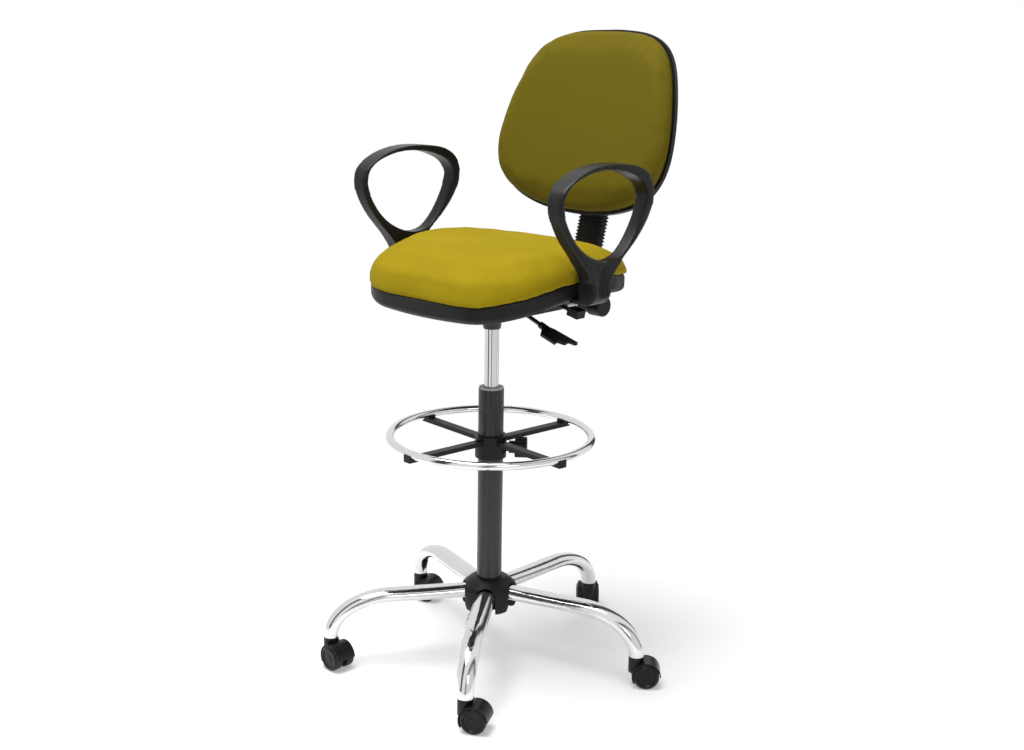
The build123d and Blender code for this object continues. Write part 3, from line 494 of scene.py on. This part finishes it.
# %% Seat cushion
VOXEL, COVER_GAP = 0.006, 0.001
SEAT_PRESSURE, SEAT_CAP, SEAT_PASSES = 7.0, 0.013, 30
SEAT_MIDDLE_Y, SEAT_HALF_DEPTH = 0.0106, 0.205
SEAM_Z, SEAM_RISE, SEAM_DROP = 0.8058, 0.0123, 0.0314
SEAT_SPREAD, SEAT_SINK = 0.022, 0.06
SEAT_TUCK_REACH, SEAT_TUCK = 0.020, 0.0075

seat = remeshed("seat_cushion", "seat_cushion_cover", seat_cloth, VOXEL, inset=COVER_GAP)
seat_base = [v.normal.z < -0.5 for v in seat.data.vertices]
blown(seat, seat_base, SEAT_PRESSURE, SEAT_CAP)


def seat_seam(spot):
    """How far above the seam line a point of the seat is."""
    share = (spot.y - SEAT_MIDDLE_Y) / SEAT_HALF_DEPTH
    return spot.z - (SEAM_Z + SEAM_RISE * share - SEAM_DROP * share * share)


finish_cushion(seat, SEAT_PASSES)
spread(seat, seat_seam, Vector((0, SEAT_MIDDLE_Y, 0)), SEAT_SPREAD, SEAT_SINK)
tuck(seat, Vector((0, 0, -1)), seat_seam, SEAT_TUCK_REACH, SEAT_TUCK)
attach(seat, "seat")
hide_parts("seat_cushion")

# %% Back cushion
BACK_PRESSURE, BACK_CAP, BACK_PASSES = 4.0, 0.007, 12
BACK_CURVE_R, BACK_SEAM = 0.927, 0.002 + 0.026
BACK_TUCK_REACH, BACK_TUCK = 0.014, 0.005

lean = math.radians(15.0)
rearward = Vector((0, math.cos(lean), -math.sin(lean)))
reference = Vector((0, 0.2516, 1.0))
back = remeshed("back_cushion", "back_cushion_cover", back_cloth_with_painted_shade, VOXEL, inset=COVER_GAP)
back_base = [v.normal.dot(rearward) > 0.5 for v in back.data.vertices]
blown(back, back_base, BACK_PRESSURE, BACK_CAP)


def back_seam(spot):
    """How far behind the seam surface a point of the back is."""
    curve = BACK_CURVE_R - math.sqrt(max(0.0, BACK_CURVE_R ** 2 - spot.x ** 2))
    return (spot - reference).dot(rearward) - (BACK_SEAM - curve)


finish_cushion(back, BACK_PASSES)
tuck(back, rearward, back_seam, BACK_TUCK_REACH, BACK_TUCK)
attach(back, "backrest")
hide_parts("back_cushion")

# %% [markdown]
# ## Loop armrests
# An armrest is one thick moulding with softened edges: a loop, a stem, and a foot
# that curls under the seat. The outer face of the stem is sunk and carries nested
# ridges that run together towards the foot. The soft edges come from smoothing a
# fine remesh of the node. The ridges are pressed in afterwards, point by point,
# from a rule: how far across the stem a point is, as a share of the stem's width.

# %% Armrests
ARM_VOXEL = 0.0024
STEM_Y, STEM_LOW_Z, STEM_HIGH_Z = 0.0005, 0.782, 0.846
STEM_HALF_LOW, STEM_HALF_GAIN = 0.010, 0.016
RIDGES, RIDGE_DEPTH, RIDGE_LEAN = 3.5, 0.0018, 0.35


def press_ridges(mesh, outward):
    """Nested grooves in the sunk face of the stem."""
    for vertex in mesh.vertices:
        x, y, z = vertex.co
        if vertex.normal.x * outward < 0.6 or not STEM_LOW_Z < z < STEM_HIGH_Z:
            continue
        rise = (z - STEM_LOW_Z) / (STEM_HIGH_Z - STEM_LOW_Z)
        half = STEM_HALF_LOW + STEM_HALF_GAIN * rise
        across = abs(y - STEM_Y) / half
        if across < 1.0:
            fade = min(1.0, 6 * rise, 6 * (1 - rise), 5 * (1 - across))
            lines = RIDGES * (across - RIDGE_LEAN * rise * rise)
            wave = 0.5 + 0.5 * math.cos(2 * math.pi * lines)
            vertex.co.x -= outward * RIDGE_DEPTH * fade * wave


for node, outward in (("armrest_left", 1), ("armrest_right", -1)):
    arm = remeshed(node, node + "_moulding", arm_skin, ARM_VOXEL, passes=5)
    press_ridges(arm.data, outward)
    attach(arm, "seat")
    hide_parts(node)
    print(arm.name, len(arm.data.polygons), "faces")

# %% [markdown]
# ## Folding sleeve
# A concertina sleeve hides the bar behind the back. Its shape follows a rule, so
# Geometry Nodes make it: a line is cut into points, every other point swells, and a
# rounded rectangle is swept along it. The tree's inputs are the sizes a maker would
# ask for.

# %% A tree of geometry nodes
class Tree:
    """A Geometry Nodes tree with named inputs."""

    def __init__(self, name, inputs):
        self.tree = bpy.data.node_groups.new(name, "GeometryNodeTree")
        face = self.tree.interface
        face.new_socket("Geometry", in_out="INPUT", socket_type="NodeSocketGeometry")
        self.keys = {}
        for label, (kind, value) in inputs.items():
            socket = face.new_socket(label, in_out="INPUT", socket_type=kind)
            if value is not None:
                socket.default_value = value
            self.keys[label] = socket.identifier
        face.new_socket("Geometry", in_out="OUTPUT", socket_type="NodeSocketGeometry")
        self.start = self.tree.nodes.new("NodeGroupInput")
        self.end = self.tree.nodes.new("NodeGroupOutput")

    def given(self, label):
        return self.start.outputs[label]

    def add(self, kind, settings=None, inputs=None, output=0):
        node = self.tree.nodes.new(kind)
        for name, value in (settings or {}).items():
            setattr(node, name, value)
        for key, value in (inputs or {}).items():
            if isinstance(value, bpy.types.NodeSocket):
                self.tree.links.new(value, node.inputs[key])
            else:
                node.inputs[key].default_value = value
        return node.outputs[output]

    def finish(self, shape, material):
        """Every tree ends in real geometry with a material."""
        real = self.add("GeometryNodeRealizeInstances", inputs={0: shape})
        dressed = self.add("GeometryNodeSetMaterial", inputs={0: real, "Material": material})
        self.tree.links.new(dressed, self.end.inputs[0])

    def grown(self, name, material, **sizes):
        """Runs the tree on an empty mesh and keeps the result as a plain mesh."""
        piece = new_piece(name, bpy.data.meshes.new(name), material)
        grow = piece.modifiers.new("grow", "NODES")
        grow.node_group = self.tree
        for label, value in sizes.items():
            grow[self.keys[label]] = value
        mesh = settled(piece)
        for face in mesh.polygons:
            face.use_smooth = True
        return piece


# %% The sleeve's tree
STEPS_PER_PLEAT = 4.0
sleeve_tree = Tree("folding sleeve", {
    "Low": ("NodeSocketVector", None), "High": ("NodeSocketVector", None),
    "Pleats": ("NodeSocketInt", 20), "Fold": ("NodeSocketFloat", 0.1),
    "Width": ("NodeSocketFloat", 0.06), "Depth": ("NodeSocketFloat", 0.03)})
t = sleeve_tree
line = t.add("GeometryNodeCurvePrimitiveLine", inputs={0: t.given("Low"), 1: t.given("High")})
steps = t.add("ShaderNodeMath", {"operation": "MULTIPLY_ADD"},
              {0: t.given("Pleats"), 1: STEPS_PER_PLEAT, 2: 1.0})
line = t.add("GeometryNodeResampleCurve", inputs={"Curve": line, "Count": steps})
index = t.add("GeometryNodeInputIndex")
wave = t.add("ShaderNodeMath", {"operation": "MULTIPLY"},
             {0: index, 1: 2 * math.pi / STEPS_PER_PLEAT})
wave = t.add("ShaderNodeMath", {"operation": "COSINE"}, {0: wave})
drop = t.add("ShaderNodeMath", {"operation": "MULTIPLY"}, {0: wave, 1: t.given("Fold")})
swell = t.add("ShaderNodeMath", {"operation": "SUBTRACT"}, {0: 1.0, 1: drop})
ring = t.add("GeometryNodeCurvePrimitiveQuadrilateral",
             inputs={"Width": t.given("Width"), "Height": t.given("Depth")})
ring = t.add("GeometryNodeFilletCurve", {"mode": "POLY"},
             {"Curve": ring, "Radius": 0.008, "Count": 4})
tube = t.add("GeometryNodeCurveToMesh", inputs={
    "Curve": line, "Profile Curve": ring, "Scale": swell, "Fill Caps": True})
t.finish(tube, sleeve_skin)
print("sleeve tree:", ", ".join(sleeve_tree.keys))

# %% The sleeve
BAR_BEHIND, SLEEVE_START, SLEEVE_STOP = 0.0815, -0.218, -0.064
upward = Vector((0, math.sin(lean), math.cos(lean)))
bar_line = reference + rearward * BAR_BEHIND
sleeve_low, sleeve_high = bar_line + upward * SLEEVE_START, bar_line + upward * SLEEVE_STOP
sleeve = sleeve_tree.grown("folding_sleeve", sleeve_skin, Low=sleeve_low, High=sleeve_high,
                           Pleats=22, Fold=0.075, Width=0.061, Depth=0.0275)
shape = bmesh.new()
shape.from_mesh(sleeve.data)
bmesh.ops.recalc_face_normals(shape, faces=shape.faces)
shape.to_mesh(sleeve.data)
shape.free()
low = [min(v.co[k] for v in sleeve.data.vertices) for k in range(3)]
high = [max(v.co[k] for v in sleeve.data.vertices) for k in range(3)]
print("sleeve box, mm:", [round(1000 * (h - l), 1) for l, h in zip(low, high)])
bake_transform(sleeve)
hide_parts("back_bellows")

# %% [markdown]
# ## Floor and light
# A plain pale floor runs to the horizon, and the sky behind it is as pale, so no
# edge shows. One large soft light above and in front models the cushions, a
# smaller one fills from the left. Chrome shows whatever surrounds it, so the
# sky that only reflections see has soft dark bands, as a studio has.

# %% Floor
REACH, NEAR, FAR = 60.0, 0.45, 1.8
floor_mesh = bpy.data.meshes.new("floor")
corners = [(-REACH, -REACH, 0), (REACH, -REACH, 0), (REACH, REACH, 0), (-REACH, REACH, 0)]
floor_mesh.from_pydata(corners, [], [(0, 1, 2, 3)])
SKY = 1.0
BANDS = [(0.0, 0.9), (0.30, 0.95), (0.36, 0.06), (0.46, 0.08),
         (0.52, 0.9), (0.74, 1.0), (0.80, 0.08), (0.90, 0.8)]


def paper():
    """Pale paper near the chair that turns into the sky's own light further out."""
    f = Finish("paper floor")
    x, y, _ = f.axes()
    out = (x * x + y * y) ** 0.5
    far = f.add("ShaderNodeMapRange", {"interpolation_type": "SMOOTHSTEP"},
                {0: out, 1: NEAR, 2: FAR, 3: 0.0, 4: 1.0})
    near = f.add("ShaderNodeBsdfPrincipled", inputs={
        "Base Color": rgb(0.95, 0.95, 0.95), "Roughness": 0.6,
        "Emission Color": rgb(1, 1, 1), "Emission Strength": 0.28})
    mirrored = f.add("ShaderNodeLightPath", output="Is Glossy Ray")
    bands = f.ramp(0.5 + 0.5 * (x / out), *[(spot, (grey,) * 3) for spot, grey in BANDS])
    glow = f.add("ShaderNodeEmission", inputs={
        "Color": f.mix(mirrored, rgb(1, 1, 1), bands), "Strength": SKY})
    both = f.add("ShaderNodeMixShader", inputs={0: far, 1: near, 2: glow})
    end = f.tree.nodes.new("ShaderNodeOutputMaterial")
    f.tree.links.new(both.socket, end.inputs["Surface"])
    return f.material


floor = new_piece("floor", floor_mesh, paper())
floor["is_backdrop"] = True
print("floor turns to sky from", NEAR, "to", FAR, "m out")

# %% Sky
FILL = 0.32


def studio_sky():
    """White to the eye, softer as light, and banded in reflections."""
    sky = bpy.data.worlds.new("studio")
    bpy.context.scene.world = sky
    sky.use_nodes = True
    sky.node_tree.nodes.clear()
    add, link = sky.node_tree.nodes.new, sky.node_tree.links.new
    seen, felt, mirrored = (add("ShaderNodeBackground") for _ in range(3))
    seen.inputs["Strength"].default_value = SKY
    felt.inputs["Strength"].default_value = FILL
    seen.inputs["Color"].default_value = felt.inputs["Color"].default_value = rgb(1, 1, 1)
    heading, parts, shift = (add(kind) for kind in (
        "ShaderNodeTexCoord", "ShaderNodeSeparateXYZ", "ShaderNodeMath"))
    shift.operation = "MULTIPLY_ADD"
    shift.inputs[1].default_value = shift.inputs[2].default_value = 0.5
    bands = add("ShaderNodeValToRGB")
    while len(bands.color_ramp.elements) < len(BANDS):
        bands.color_ramp.elements.new(0.5)
    for element, (spot, grey) in zip(bands.color_ramp.elements, BANDS):
        element.position, element.color = spot, rgb(grey, grey, grey)
    path, glossy, eye, out = (add(kind) for kind in (
        "ShaderNodeLightPath", "ShaderNodeMixShader", "ShaderNodeMixShader",
        "ShaderNodeOutputWorld"))
    for start, end in (
            (heading.outputs["Generated"], parts.inputs[0]),
            (parts.outputs["X"], shift.inputs[0]),
            (shift.outputs[0], bands.inputs[0]),
            (bands.outputs[0], mirrored.inputs["Color"]),
            (path.outputs["Is Glossy Ray"], glossy.inputs[0]),
            (felt.outputs[0], glossy.inputs[1]),
            (mirrored.outputs[0], glossy.inputs[2]),
            (path.outputs["Is Camera Ray"], eye.inputs[0]),
            (glossy.outputs[0], eye.inputs[1]),
            (seen.outputs[0], eye.inputs[2]),
            (eye.outputs[0], out.inputs["Surface"])):
        link(start, end)


studio_sky()
bpy.context.scene.view_settings.view_transform = "Standard"


# %% Lamps
def lamp(name, spot, aim, width, power):
    """A square soft light that looks at a point."""
    light = bpy.data.lights.new(name, "AREA")
    light.size, light.energy = width, power
    holder = bpy.data.objects.new(name, light)
    bpy.context.scene.collection.objects.link(holder)
    holder.location = spot
    holder.rotation_mode = "QUATERNION"
    holder.rotation_quaternion = (Vector(aim) - Vector(spot)).to_track_quat("-Z", "Y")


lamp("key", (-0.3, -0.5, 3.6), (0, 0, 0.7), 2.0, 120)
lamp("fill", (2.6, -1.4, 1.8), (0, 0, 0.7), 1.2, 8)
print("studio ready")

# %% [markdown]
# ## Sizes and the end
# The dressed chair may stand a little proud of the CAD box, as cloth does, and no
# more. The last lines print by how much.

# %% Print the sizes
low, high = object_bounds()
proud = (*(CAD_LOW - low), *(high - CAD_HIGH))
print("visual box over CAD box, mm:", [round(1000 * v, 1) for v in proud])
